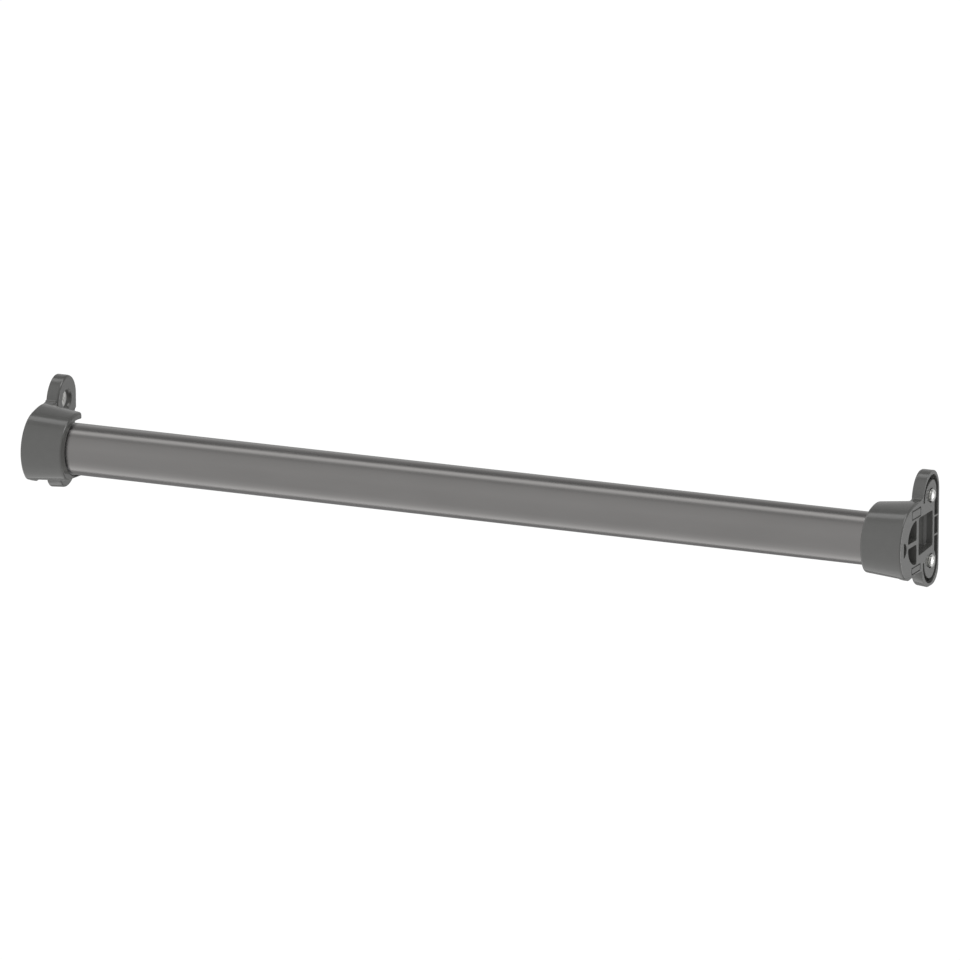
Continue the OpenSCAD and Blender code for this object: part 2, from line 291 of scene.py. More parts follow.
def rounded(corners, radius, steps=6, most=0.45):
    """A polygon of Y and Z points with rounded corners, which use at most a share of their sides."""
    points = []
    for i, corner in enumerate(corners):
        here = Vector(corner)
        before = Vector(corners[i - 1]) - here
        after = Vector(corners[(i + 1) % len(corners)]) - here
        half = before.angle(after) / 2
        reach = min(radius / math.tan(half), most * before.length, most * after.length)
        start, end = here + before.normalized() * reach, here + after.normalized() * reach
        for k in range(steps + 1):
            t = k / steps
            points.append(tuple((1 - t) ** 2 * start + 2 * t * (1 - t) * here + t * t * end))
    return points


def add_object(name, data):
    """An object of the scene, with a mesh, a light or a camera."""
    made = bpy.data.objects.new(name, data)
    bpy.context.scene.collection.objects.link(made)
    return made


def mesh_object(name, vertices, faces):
    """An object at the origin from points and faces, with its normals facing out."""
    mesh = bpy.data.meshes.new(name)
    mesh.from_pydata(vertices, [], faces)
    solid = bmesh.new()
    solid.from_mesh(mesh)
    bmesh.ops.remove_doubles(solid, verts=solid.verts, dist=WELD)
    bmesh.ops.recalc_face_normals(solid, faces=solid.faces)
    solid.to_mesh(mesh)
    solid.free()
    return add_object(name, mesh)


def bands(rows, count):
    """Faces between rows of as many points, each row closed into a ring."""
    faces = []
    for r in range(rows):
        for i in range(count):
            j = (i + 1) % count
            faces.append((r * count + i, r * count + j, (r + 1) * count + j, (r + 1) * count + i))
    return faces


def loft(name, rings):
    """A closed body through rings of as many points, with flat ends."""
    count = len(rings[0])
    vertices = [point for ring in rings for point in ring]
    last = (len(rings) - 1) * count
    faces = [tuple(range(count))] + bands(len(rings) - 1, count) + [tuple(range(last, last + count))]
    return mesh_object(name, vertices, faces)


def prism(name, outline, start, end):
    """An outline in Y and Z, thickened along X."""
    return loft(name, [at(x, outline) for x in (start, end)])


def turned(name, profile, y, z, segments):
    """A profile of X and radius, turned about a line along X. It starts and ends on the line."""
    inner = profile[1:-1]
    vertices = []
    for x, radius in inner:
        for k in range(segments):
            a = 2 * math.pi * k / segments
            vertices.append((x, y + radius * math.cos(a), z + radius * math.sin(a)))
    faces = bands(len(inner) - 1, segments)
    for row, (x, _) in ((0, profile[0]), (len(inner) - 1, profile[-1])):
        vertices.append((x, y, z))
        for k in range(segments):
            faces.append((len(vertices) - 1, row * segments + k, row * segments + (k + 1) % segments))
    return mesh_object(name, vertices, faces)


def bake(piece):
    """Applies the modifiers of a piece."""
    evaluated = piece.evaluated_get(bpy.context.evaluated_depsgraph_get())
    baked = bpy.data.meshes.new_from_object(evaluated)
    piece.modifiers.clear()
    piece.data = baked


def combine(piece, tools, operation):
    """Joins tools to a piece, or cuts them out of it, and removes them."""
    for tool in tools:
        boolean = piece.modifiers.new("Combine", "BOOLEAN")
        boolean.operation = operation
        boolean.solver = "EXACT"
        boolean.object = tool
        bake(piece)
        bpy.data.objects.remove(tool)
    if not piece.data.polygons:
        raise RuntimeError(f"{piece.name} lost its faces while it was cut")
    return piece


def shade_smooth(piece):
    """Shades every face smoothly."""
    for face in piece.data.polygons:
        face.use_smooth = True


def split_edges(piece, degrees):
    """Shades a piece smoothly, but for the edges that are sharper than an angle."""
    shade_smooth(piece)
    piece.modifiers.new("Edges", "EDGE_SPLIT").split_angle = math.radians(degrees)
    bake(piece)


def finish_piece(piece, name, body, slot, material, *nodes):
    """Names a piece, paints it, ties it to its body and hides its CAD nodes; its slot is not used."""
    piece.name = name
    piece.data.name = name
    piece.data.materials.clear()
    piece.data.materials.append(material)
    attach(piece, body)
    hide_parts(*nodes)


def add_node(nodes, kind, values=(), **attributes):
    """Adds a node, with its attributes and some of its inputs set."""
    node = nodes.new(kind)
    for key, value in attributes.items():
        setattr(node, key, value)
    for key, value in dict(values).items():
        node.inputs[key].default_value = value
    return node


def join(tree, *links):
    """Links nodes, each link given by a node, its output, the next node and its input."""
    for source, output, target, entry in links:
        tree.links.new(source.outputs[output], target.inputs[entry])


def surface_grain_group():
    """Node group: fine grain and slow mottle of a surface, from its place on the object."""
    name = "SurfaceGrain"
    if name in bpy.data.node_groups:
        return bpy.data.node_groups[name]
    tree = bpy.data.node_groups.new(name, "ShaderNodeTree")
    for socket, kind, default in (
        ("Colour", "NodeSocketColor", (0.5, 0.5, 0.5, 1.0)),
        ("Colour Change", "NodeSocketFloat", 0.1),
        ("Roughness", "NodeSocketFloat", 0.4),
        ("Roughness Change", "NodeSocketFloat", 0.1),
        ("Grain Scale", "NodeSocketFloat", 900.0),
        ("Mottle Scale", "NodeSocketFloat", 60.0),
        ("Stretch", "NodeSocketVector", (1.0, 1.0, 1.0)),
    ):
        given = tree.interface.new_socket(name=socket, in_out="INPUT", socket_type=kind)
        given.default_value = default
    tree.interface.new_socket(name="Colour", in_out="OUTPUT", socket_type="NodeSocketColor")
    for socket in ("Roughness", "Height"):
        tree.interface.new_socket(name=socket, in_out="OUTPUT", socket_type="NodeSocketFloat")
    nodes = tree.nodes
    given, result = nodes.new("NodeGroupInput"), nodes.new("NodeGroupOutput")
    place = nodes.new("ShaderNodeTexCoord")
    stretch = add_node(nodes, "ShaderNodeVectorMath", operation="MULTIPLY")
    grain = add_node(nodes, "ShaderNodeTexNoise", {"Detail": 3.0})
    mottle = add_node(nodes, "ShaderNodeTexNoise", {"Detail": 4.0})
    centred = add_node(nodes, "ShaderNodeMath", {1: 0.5}, operation="SUBTRACT")
    change = add_node(nodes, "ShaderNodeMath", {2: 1.0}, operation="MULTIPLY_ADD")
    tinted = add_node(nodes, "ShaderNodeVectorMath", operation="SCALE")
    rough = add_node(nodes, "ShaderNodeMath", operation="MULTIPLY_ADD")
    join(
        tree,
        (place, "Object", stretch, 0),
        (given, "Stretch", stretch, 1),
        (stretch, 0, grain, "Vector"),
        (given, "Grain Scale", grain, "Scale"),
        (stretch, 0, mottle, "Vector"),
        (given, "Mottle Scale", mottle, "Scale"),
        (mottle, "Fac", centred, 0),
        (centred, 0, change, 0),
        (given, "Colour Change", change, 1),
        (given, "Colour", tinted, 0),
        (change, 0, tinted, "Scale"),
        (centred, 0, rough, 0),
        (given, "Roughness Change", rough, 1),
        (given, "Roughness", rough, 2),
        (tinted, 0, result, "Colour"),
        (rough, 0, result, "Roughness"),
        (grain, "Fac", result, "Height"),
    )
    return tree


def grained_material(name, tint, roughness, values, strength, height, metallic=1.0, specular=0.5):
    """A material whose colour, roughness and relief come from the grain group."""
    material = bpy.data.materials.new(name)
    material.use_nodes = True
    tree = material.node_tree
    shader = tree.nodes["Principled BSDF"]
    shader.inputs["Metallic"].default_value = metallic
    shader.inputs["Specular IOR Level"].default_value = specular
    values = {"Colour": (*tint, 1.0), "Roughness": roughness, **values}
    grain = add_node(tree.nodes, "ShaderNodeGroup", values, node_tree=surface_grain_group())
    bump = add_node(tree.nodes, "ShaderNodeBump", {"Strength": strength, "Distance": height})
    join(
        tree,
        (grain, "Colour", shader, "Base Color"),
        (grain, "Roughness", shader, "Roughness"),
        (grain, "Height", bump, "Height"),
        (bump, "Normal", shader, "Normal"),
    )
    return material


def paint_gap_shade(material, colour, reach, start, full):
    """Paints shade into a material's colour where a piece lies close over it, as in a narrow gap."""
    nodes, links = material.node_tree.nodes, material.node_tree.links
    openness = add_node(nodes, "ShaderNodeAmbientOcclusion", {"Distance": reach}, samples=8)
    shade_mask = add_node(nodes, "ShaderNodeMapRange", {"From Min": start, "From Max": full})
    mix = add_node(nodes, "ShaderNodeMix", data_type="RGBA")
    factor, first, second = mix.inputs[0], mix.inputs[6], mix.inputs[7]
    second.default_value = (*colour, 1.0)
    base = nodes["Principled BSDF"].inputs["Base Color"]
    links.new(base.links[0].from_socket, first)
    links.new(openness.outputs["AO"], shade_mask.inputs["Value"])
    links.new(shade_mask.outputs["Result"], factor)
    links.new(mix.outputs[2], base)


def coat_material():
    """Satin dark grey coat on the steel tube, with a faint orange peel."""
    s = settings().tube
    values = {"Colour Change": 0.16, "Roughness Change": 0.12}
    values |= {"Grain Scale": 700.0, "Mottle Scale": 90.0, "Stretch": (0.25, 1.0, 1.0)}
    material = grained_material(
        "RailCoat", s.coat_colour, s.coat_roughness, values, strength=0.12, height=0.05 * MM
    )
    # Painted shade in the narrow gaps round the tube, as inside the sockets' mouths
    paint_gap_shade(material, s.gap_colour, s.gap_reach, s.gap_start, s.gap_full)
    return material


def plastic_material():
    """Satin dark grey moulded polyamide with a fine eroded grain."""
    s = settings().bracket
    return grained_material(
        "BracketPlastic",
        s.plastic_colour,
        s.plastic_roughness,
        {"Colour Change": 0.12, "Roughness Change": 0.14, "Grain Scale": 2600.0, "Mottle Scale": 240.0},
        strength=0.25,
        height=0.03 * MM,
        metallic=0.0,
        specular=1.0,
    )


def zinc_material():
    """Bright zinc plating with fine turning marks."""
    s = settings().screw
    return grained_material(
        "ScrewZinc",
        s.zinc_colour,
        s.zinc_roughness,
        {"Colour Change": 0.12, "Roughness Change": 0.16, "Grain Scale": 1300.0, "Mottle Scale": 500.0},
        strength=0.5,
        height=0.06 * MM,
    )


def build_tube():
    """The round tube with its wall and rounded ends."""
    s = settings().tube
    soft = s.end_round
    outer, inner = TUBE_HIGH.z, TUBE_HIGH.z - s.wall
    near, far = TUBE_LOW.x + soft, TUBE_HIGH.x - soft
    profile = arc(far, outer - soft, soft, 90, 0, 3) + arc(far, inner + soft, soft, 0, -90, 3)
    profile += arc(near, inner + soft, soft, -90, -180, 3) + arc(near, outer - soft, soft, 180, 90, 3)
    vertices = []
    for k in range(s.segments):
        a = 2 * math.pi * k / s.segments
        for x, radius in profile:
            vertices.append((x, radius * math.cos(a), radius * math.sin(a)))
    faces = bands(s.segments, len(profile))
    faces = [tuple(i % len(vertices) for i in face) for face in faces]
    tube = mesh_object("tube", vertices, faces)
    split_edges(tube, 50)
    return tube


class BracketPlan:
    """Places of a bracket's parts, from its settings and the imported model. X starts at the panel."""

    def __init__(self):
        s = settings().bracket
        self.s = s
        self.depth = BRACKET_HIGH.x - BRACKET_LOW.x
        self.tube_radius = TUBE_HIGH.z
        self.bore_radius = self.tube_radius + s.bore_play
        self.bore_z = s.bore_play - s.rest_gap
        self.mouth_radius = self.bore_radius + s.socket_wall
        self.underside_mouth = self.bore_z - self.bore_radius - s.lip_thickness
        self.core_radius = self.tube_radius - s.core_inset
        self.screw_y = (SCREW_LOW.y + SCREW_HIGH.y) / 2
        self.upper_z = (SCREW_LOW.z + SCREW_HIGH.z) / 2
        self.lower_z = (LOWER_SCREW_LOW.z + LOWER_SCREW_HIGH.z) / 2
        self.front_y = self.screw_y - s.plate_lead
        self.rear_y = self.front_y + s.plate_width
        self.middle_y = self.front_y + s.plate_width / 2
        self.top_z = BRACKET_HIGH.z
        self.foot_z = BRACKET_LOW.z
        self.head_radius = (SCREW_HIGH.z - SCREW_LOW.z) / 2

    def cone_radius(self, x):
        """Radius of the socket at a distance from the panel."""
        return self.mouth_radius + self.s.socket_taper * (1 - x / self.depth)

    def plate_outline(self, front, top, rear, turn=0.0, steps=24):
        """Outline of the plate, drawn in at its front, top and rear, with its foot's corners turned.

        The turn goes from nought at the panel's side to one at the tube's side.
        """
        s = self.s
        apex = self.middle_y + s.head_lean
        wide = self.rear_y - apex - rear
        points = oval(apex, self.top_z - s.head_rear_oval, wide, s.head_rear_oval - top, 0, 90, steps)
        wide = apex - self.front_y - front
        low = self.top_z - s.head_front_oval
        points += oval(apex, low, wide, s.head_front_oval - top, 90, 180, steps)[1:]
        wide = s.foot_front_width + turn * s.foot_turn
        high = s.foot_front_height + turn * s.foot_lift
        points += oval(
            self.front_y + wide, self.foot_z + high, wide - front, high - top, 180, 270, steps
        )
        wide = min(s.foot_rear_round + turn * s.foot_lift, s.plate_width - wide)
        high = s.foot_rear_round + turn * s.foot_lift
        points += oval(self.rear_y - wide, self.foot_z + high, wide - rear, high - top, 270, 360, steps)
        return points

    def groove_outline(self, front, top, rear, foot, steps=24):
        """Outline of a groove's side: like the plate's at the head, and a half-oval at the foot."""
        s = self.s
        points = self.plate_outline(front, top, rear)[: 2 * steps + 1]
        low = self.foot_z + s.foot_groove_oval
        high = s.foot_groove_oval - foot
        wide = self.middle_y - self.front_y - front
        points += oval(self.middle_y, low, wide, high, 180, 270, steps)
        wide = self.rear_y - self.middle_y - rear
        points += oval(self.middle_y, low, wide, high, 270, 360, steps)[1:]
        return points


def plate_body(plan, steps=8, top_share=0.6):
    """The screw plate, whose edge on the tube's side is rounded, and less at its top."""
    s = plan.s
    soft = s.plate_edge_round
    rings = [at(0.0, plan.plate_outline(0.0, 0.0, 0.0))]
    for across, left in quarter_turn(steps):
        inset, rear = soft * (1 - left), s.rear_edge_round * (1 - left)
        outline = plan.plate_outline(inset, top_share * inset, rear, 1.0)
        rings.append(at(s.plate_thickness - soft * (1 - across), outline))
    return loft("plate", rings)


# The socket's outside departs from a round cone, by angles from the rear over the top: it is
# flattened about its shoulder, less so towards the mouth, and swells about its crown
SHOULDER_ANGLE, SHOULDER_SPREAD, SHOULDER_FADE = 101, 20, 0.45
CROWN_ANGLE, CROWN_SPREAD = 68, 22
# Share of the underside's lean that raises its front, while the rest lowers its rear
FRONT_LEAN = 0.25
# Rise of the underside where the outside is drawn in at the mouth and at the panel
UNDERSIDE_INSET = 0.4


def bell(angle, middle, spread):
    """A smooth hump with a height of one."""
    return math.exp(-(((angle - middle) / spread) ** 2))


def corner_place(radius, soft, floor):
    """Centre of a corner between a circle and a floor, and the angle where it meets the circle."""
    high = floor + soft
    side = math.sqrt((radius - soft) ** 2 - high**2)
    return side, high, math.degrees(math.atan2(high, side))


def socket_ring(plan, x, radius, inset, count=144, corner_steps=12):
    """One ring of the socket's outside: round, with a flat underside and a soft shoulder."""
    s = plan.s
    along = x / plan.depth
    floor = plan.underside_mouth - s.underside_drop * (1 - along) + UNDERSIDE_INSET * inset
    soft = s.underside_round + s.underside_growth * along
    rear_soft = s.underside_rear_round
    side, high, turn = corner_place(radius, soft, floor + FRONT_LEAN * s.underside_lean)
    rear_floor = floor - (1 - FRONT_LEAN) * s.underside_lean
    rear_side, rear_high, rear_turn = corner_place(radius, rear_soft, rear_floor)
    ring = arc(rear_side, rear_high, rear_soft, -90, rear_turn, corner_steps)
    for k in range(1, count):
        a = rear_turn + (180 - rear_turn - turn) * k / count
        dip = s.shoulder_dip * (1 - SHOULDER_FADE * along) * bell(a, SHOULDER_ANGLE, SHOULDER_SPREAD)
        crown = s.crown_growth * (1 - along) * bell(a, CROWN_ANGLE, CROWN_SPREAD)
        reach = radius - dip + crown
        ring.append((reach * math.cos(math.radians(a)), reach * math.sin(math.radians(a))))
    ring += arc(-side, high, soft, 180 - turn, 270, corner_steps)
    return [(x, y - s.front_growth, z) for y, z in ring]


def socket_body(plan, edge_steps=6, wall_steps=6, mouth_steps=8):
    """The socket's outside as a full body, from the panel to its mouth."""
    s = plan.s
    edge, mouth = s.panel_edge_round, s.mouth_round
    rings = []
    for across, left in quarter_turn(edge_steps):
        inset = edge * (1 - across)
        rings.append(socket_ring(plan, edge * (1 - left), plan.cone_radius(edge) - inset, inset))
    for i in range(1, wall_steps):
        x = edge + (plan.depth - mouth - edge) * i / wall_steps
        rings.append(socket_ring(plan, x, plan.cone_radius(x), 0.0))
    for across, left in quarter_turn(mouth_steps):
        inset = mouth * (1 - left)
        x = plan.depth - mouth * (1 - across)
        rings.append(socket_ring(plan, x, plan.cone_radius(plan.depth - mouth) - inset, inset))
    return loft("socket", rings)


def neck_body(plan, fillet_end=345, fillet_steps=10, bulge=0.7):
    """The neck that rises from the socket into the plate's front edge, where a small ledge ends it.

    The fillet ends short of upright, and the neck's side edge bulges about its bevel.
    """
    s = plan.s
    start_y = plan.front_y - s.neck_length
    radius = plan.cone_radius(s.plate_thickness)
    start_z = math.sqrt(radius**2 - (start_y + s.front_growth) ** 2)
    end_z = start_z + s.neck_rise
    fillet_y, fillet = plan.front_y - s.neck_ledge - s.neck_fillet, s.neck_fillet
    curve = arc(fillet_y, end_z + fillet, fillet, 270, fillet_end, fillet_steps)
    ledge_z = curve[-1][1]
    soft = s.plate_edge_round / 2
    side = s.plate_thickness - s.plate_edge_round
    middle = (side + bulge * soft, (1 - bulge) * soft)
    rings = []
    for x, drop in ((0.0, 0.0), (side, 0.0), middle, (side + soft, soft)):
        outline = [(start_y, 0.0), (start_y, start_z - drop)]
        outline += [(y + drop, z - drop) for y, z in curve]
        outline += [(plan.screw_y, ledge_z - drop), (plan.screw_y, 0.0)]
        rings.append(at(x, outline))
    return loft("neck", rings)


def sill_body(plan):
    """The small sill under the socket's edge, set back from the panel, that meets the foot."""
    s = plan.s
    floor = plan.underside_mouth - s.underside_drop
    low = floor - s.sill_drop
    front = -s.sill_reach * plan.mouth_radius
    rear = plan.front_y + s.rim_width
    corners = [
        (2 * front, floor + s.sill_drop),
        (front, low),
        (rear, low + s.sill_rise * s.sill_drop),
        (rear, floor + 2 * s.sill_drop),
    ]
    outline = rounded(corners, 2 * s.sill_drop)
    return prism("sill", outline, s.sill_setback * s.sill_drop, 2 * s.sill_drop)


def socket_space(plan):
    """Bodies that open the socket: its back opening, its bore and the chamfer of its mouth."""
    s = plan.s
    far = 3 * plan.depth
    z, radius = plan.bore_z, plan.bore_radius
    nose = s.nose_round
    outline = [(0.0, z), (s.lower_reach, z), (s.lower_reach, -far), (far, -far), (far, far)]
    outline.append((s.upper_reach, far))
    outline += arc(s.upper_reach - nose, z + radius + nose, nose, 0, -90, 8)
    outline.append((0.0, z + radius))
    start, end = s.plate_thickness, plan.depth + OVERRUN
    deep = plan.depth - s.mouth_chamfer
    past = deep + OVERRUN
    bore = [(start, 0.0), (start, radius), (end, radius), (end, 0.0)]
    chamfer = [(deep, 0.0), (deep, radius), (past, radius + OVERRUN), (past, 0.0)]
    return [
        prism("opening", outline, start, end),
        turned("bore", bore, 0.0, z, SOCKET_FACES),
        turned("chamfer", chamfer, 0.0, z, SOCKET_FACES),
    ]


def relief_cut(plan):
    """The relief in the plate's face behind the tube, with sloped ends."""
    s = plan.s
    reach = plan.upper_z - plan.head_radius - s.counterbore_gap - plan.bore_z
    rings = []
    for rise, slope in ((-s.relief_depth, s.relief_slope), (OVERRUN, -OVERRUN)):
        low, high = plan.bore_z - reach + slope, plan.bore_z + reach - slope
        rings.append(at(s.plate_thickness + rise, box_outline(0.0, 3 * plan.depth, low, high)))
    return loft("relief", rings)


def screw_space(plan, z):
    """Hole and counterbore of one screw."""
    s = plan.s
    seat = s.plate_thickness - s.head_depth - settings().screw.head_height
    wide = plan.head_radius + s.counterbore_gap
    end = s.plate_thickness + OVERRUN
    hole = [(-OVERRUN, 0.0), (-OVERRUN, s.hole_radius), (seat, s.hole_radius)]
    counterbore = [(seat, wide), (end, wide), (end, 0.0)]
    return turned("screw_space", hole + counterbore, plan.screw_y, z, HOLE_FACES)


def hollow(plan, outline, depth=None):
    """A cut into the back, from outside the panel face to a depth."""
    return prism("hollow", outline, -OVERRUN, plan.s.core_depth if depth is None else depth)


def box_outline(low_y, high_y, low_z, high_z):
    """The corners of a rectangle in the Y and Z directions."""
    return [(low_y, low_z), (high_y, low_z), (high_y, high_z), (low_y, high_z)]


def groove_cut(plan):
    """The groove inside the rim: round the head, down the back past two ribs, round the foot."""
    s = plan.s
    inner = s.front_rim + s.front_groove
    wide = s.groove_width
    rear = plan.rear_y - s.rim_width
    low, high = plan.lower_z + s.rim_width, plan.upper_z - wide
    groove = hollow(plan, plan.groove_outline(s.front_rim, s.head_rim, s.rim_width, s.foot_rim))
    inside = plan.groove_outline(inner, s.head_rim + wide, s.rim_width + wide, s.foot_rim + wide)
    combine(groove, [prism("inside", inside, -2 * OVERRUN, 2 * s.core_depth)], "DIFFERENCE")
    combine(groove, [hollow(plan, box_outline(rear - s.rear_groove, rear, low, high))], "UNION")
    low_end, high_end = plan.lower_z + s.foot_groove_reach, plan.upper_z - s.head_groove_reach
    kept = [box_outline(-plan.depth, plan.front_y + inner, low_end, high_end)]
    for side in (-1, 1):
        middle = s.cross_rib_rise + side * s.cross_rib_spacing / 2
        half = s.cross_rib / 2
        kept.append(box_outline(rear - s.rear_groove, plan.rear_y, middle - half, middle + half))
    wide = plan.head_radius + s.counterbore_gap + s.boss_wall
    for z in (plan.lower_z, plan.upper_z):
        kept.append(arc(plan.screw_y, z, wide, 0, 360, HOLE_FACES)[:-1])
    tools = [prism("kept", outline, -2 * OVERRUN, 2 * s.core_depth) for outline in kept]
    return combine(groove, tools, "DIFFERENCE")


def round_core_cuts(plan):
    """The two halves of the round hollow, with a flat side at the upright bar and soft corners."""
    s = plan.s
    soft = s.core_corner
    near, far = s.level_rib / 2 + soft, plan.core_radius - soft
    side_y = s.upright_place - soft
    low = (-math.sqrt(far**2 - near**2), near)
    high = (side_y, math.sqrt(far**2 - side_y**2))
    low_turn = math.degrees(math.atan2(low[1], low[0]))
    high_turn = math.degrees(math.atan2(high[1], high[0]))
    outline = arc(*low, soft, 270, low_turn, 8)
    outline += arc(0.0, 0.0, plan.core_radius, low_turn, high_turn, 24)[1:-1]
    outline += arc(*high, soft, high_turn, 0, 8)
    outline += arc(side_y, near, soft, 0, -90, 8)
    return [hollow(plan, [(y, plan.bore_z + sign * z) for y, z in outline]) for sign in (1, -1)]


def window_cut(plan):
    """The window between the upright bar and the rear bar, with a bevel at the rear of its floor."""
    s = plan.s
    front = s.upright_place + s.upright_bar
    rear = plan.rear_y - s.rim_width - s.rear_groove - s.rear_bar
    low, high = plan.lower_z + s.window_sill, plan.upper_z - s.window_head
    corners = [(front, low - s.window_fall), (rear, low), (rear, high), (front, high)]
    cut = hollow(plan, rounded(corners, s.core_corner))
    start, end = s.core_depth - s.window_bevel - OVERRUN, s.core_depth + OVERRUN
    near, far = rear - s.window_bevel - OVERRUN, rear + OVERRUN
    wedge = [[(start, far, z), (end, near, z), (end, far, z)] for z in (plan.lower_z, plan.upper_z)]
    return combine(cut, [loft("wedge", wedge)], "DIFFERENCE")


def field_cuts(plan):
    """The lines round the two bare marking fields."""
    s = plan.s
    half, line = s.field_length / 2, s.field_line
    upper = plan.bore_z + plan.core_radius + s.upper_land
    lower = plan.bore_z - plan.core_radius - s.lower_land - s.lower_field
    cuts = []
    for base, height in ((upper, s.upper_field), (lower, s.lower_field)):
        outline = rounded(box_outline(-half, half, base, base + height), s.field_corner)
        island = box_outline(line - half, half - line, base + line, base + height - line)
        kept = prism("island", island, -2 * OVERRUN, plan.depth)
        cuts.append(combine(hollow(plan, outline, s.field_depth), [kept], "DIFFERENCE"))
    return cuts


def core_cuts(plan):
    """The round hollow in two halves, the window, the half-round hollow and the fields' lines."""
    s = plan.s
    flat = -plan.tube_radius - s.half_round_place
    half_round = hollow(plan, arc(flat, 0.0, s.half_round, -90, 90, 24))
    return round_core_cuts(plan) + [window_cut(plan), half_round] + field_cuts(plan)


def build_bracket():
    """One bracket, with the panel at X nought and its mouth towards +X."""
    plan = BracketPlan()
    s = plan.s
    socket = combine(socket_body(plan), socket_space(plan), "DIFFERENCE")
    bracket = combine(plate_body(plan), [neck_body(plan), sill_body(plan), socket], "UNION")
    cuts = [relief_cut(plan)] + [screw_space(plan, z) for z in (plan.lower_z, plan.upper_z)]
    combine(bracket, cuts + [groove_cut(plan)] + core_cuts(plan), "DIFFERENCE")
    remesh = bracket.modifiers.new("Moulding", "REMESH")
    remesh.mode = "VOXEL"
    remesh.voxel_size = s.voxel
    smooth = bracket.modifiers.new("Edges", "SMOOTH")
    smooth.factor = s.smooth_share
    smooth.iterations = s.smooth_passes
    bake(bracket)
    shade_smooth(bracket)
    return bracket


def placed(mesh_source, side):
    """A copy of a left-hand mesh, set against the left panel or mirrored against the right one."""
    mesh = mesh_source.copy()
    mesh.transform(Matrix.Translation((BRACKET_LOW.x, 0.0, 0.0)))
    if side == "right":
        mesh.transform(Matrix.Scale(-1, 4, (1, 0, 0)))
        mesh.flip_normals()
    return add_object("piece", mesh)


def thread_ring(s, x, reach, flank=0.32, sharpness=1.5):
    """One ring of the thread, whose radius follows a helix along X, with a flat on its crest."""
    ring = []
    for k in range(SCREW_FACES):
        turn = k / SCREW_FACES
        phase = (x / s.thread_pitch - turn) % 1.0
        ridge = max(0.0, 1 - abs(phase - 0.5) / flank)
        crest = min(1.0, sharpness * ridge)
        radius = s.thread_radius - s.thread_depth * (1 - crest)
        radius = min(radius, s.thread_radius - s.tip_chamfer + (x + reach))
        a = 2 * math.pi * turn
        ring.append((x, radius * math.cos(a), radius * math.sin(a)))
    return ring


# How far the recess's slots run past the head, along their own slope
RECESS_OVERRUN = 0.2 * MM
# Places of the rings on the domed tip and head, as shares of the radius
TIP_PLACES = (0.1, 0.35, 0.6, 0.8, 0.95)
HEAD_PLACES = (0.8, 0.6, 0.4, 0.2, 0.05)


def recess_cuts(s, head_top):
    """The two slots of the cross recess, which narrow to its floor."""
    half, slot = s.recess_width / 2, s.recess_slot / 2
    slots = []
    for turn in (0, 90):
        spin = Matrix.Rotation(math.radians(turn), 2)
        rings = []
        for x, width in ((head_top - s.recess_depth, s.recess_taper), (head_top + RECESS_OVERRUN, 1.0)):
            corners = box_outline(-slot * width, slot * width, -half * width, half * width)
            rings.append(at(x, [spin @ Vector(corner) for corner in corners]))
        slots.append(loft("slot", rings))
    return slots


def build_screw(thread_steps=36, edge_steps=6):
    """One screw about the X axis, with the panel at X nought and its head towards +X."""
    s = settings().screw
    reach = BRACKET_LOW.x - SCREW_LOW.x
    head_top = SCREW_HIGH.x - BRACKET_LOW.x
    head_radius = (SCREW_HIGH.z - SCREW_LOW.z) / 2
    tip_radius = s.thread_radius - s.tip_chamfer - s.thread_depth
    start = -reach + s.tip_dome
    rings = []
    for t in TIP_PLACES:
        rings.append(at(-reach + s.tip_dome * t * t, circle(t * tip_radius, SCREW_FACES)))
    for i in range(thread_steps + 1):
        rings.append(thread_ring(s, start - start * i / thread_steps, reach))
    seat, edge = head_top - s.head_height, head_top - s.head_dome
    profile = [(0.0, s.neck_radius), (seat, s.neck_radius), (seat, head_radius)]
    for across, left in quarter_turn(edge_steps):
        radius = head_radius - s.head_round * (1 - left)
        profile.append((edge - s.head_round * (1 - across), radius))
    for t in HEAD_PLACES:
        profile.append((head_top - s.head_dome * t * t, t * (head_radius - s.head_round)))
    rings += [at(x, circle(radius, SCREW_FACES)) for x, radius in profile]
    screw = loft("screw", rings)
    combine(screw, recess_cuts(s, head_top), "DIFFERENCE")
    split_edges(screw, 35)
    return screw


class CLOTHESRAIL_OT_tube(bpy.types.Operator):
    """Build the coated steel tube"""

    bl_idname = "clothes_rail.tube"
    bl_label = "Build Tube"

    def execute(self, context):
        finish_piece(build_tube(), "coated_tube", "rail", "rail_coating", coat_material(), "rail_tube")
        return {"FINISHED"}


class CLOTHESRAIL_OT_brackets(bpy.types.Operator):
    """Build the two moulded end brackets"""

    bl_idname = "clothes_rail.brackets"
    bl_label = "Build Brackets"

    def execute(self, context):
        source = build_bracket()
        material = plastic_material()
        for side in SIDES:
            piece = placed(source.data, side)
            finish_piece(
                piece, f"{side}_moulding", "brackets", "bracket_plastic", material, f"{side}_bracket"
            )
            # The tube's blurred reflection of the left bracket would be wider than the real one
            piece.visible_glossy = side == "right"
        bpy.data.objects.remove(source)
        return {"FINISHED"}


class CLOTHESRAIL_OT_screws(bpy.types.Operator):
    """Build the four threaded screws"""

    bl_idname = "clothes_rail.screws"
    bl_label = "Build Screws"

    def execute(self, context):
        source = build_screw()
        material = zinc_material()
        for side in SIDES:
            for level in LEVELS:
                node = f"{side}_{level}_screw"
                low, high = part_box(node)
                middle = (low + high) / 2
                piece = placed(source.data, side)
                piece.data.transform(Matrix.Translation((0.0, middle.y, middle.z)))
                name = f"{side}_{level}_zinc_screw"
                finish_piece(piece, name, "brackets", "screw_zinc", material, node)
        bpy.data.objects.remove(source)
        return {"FINISHED"}


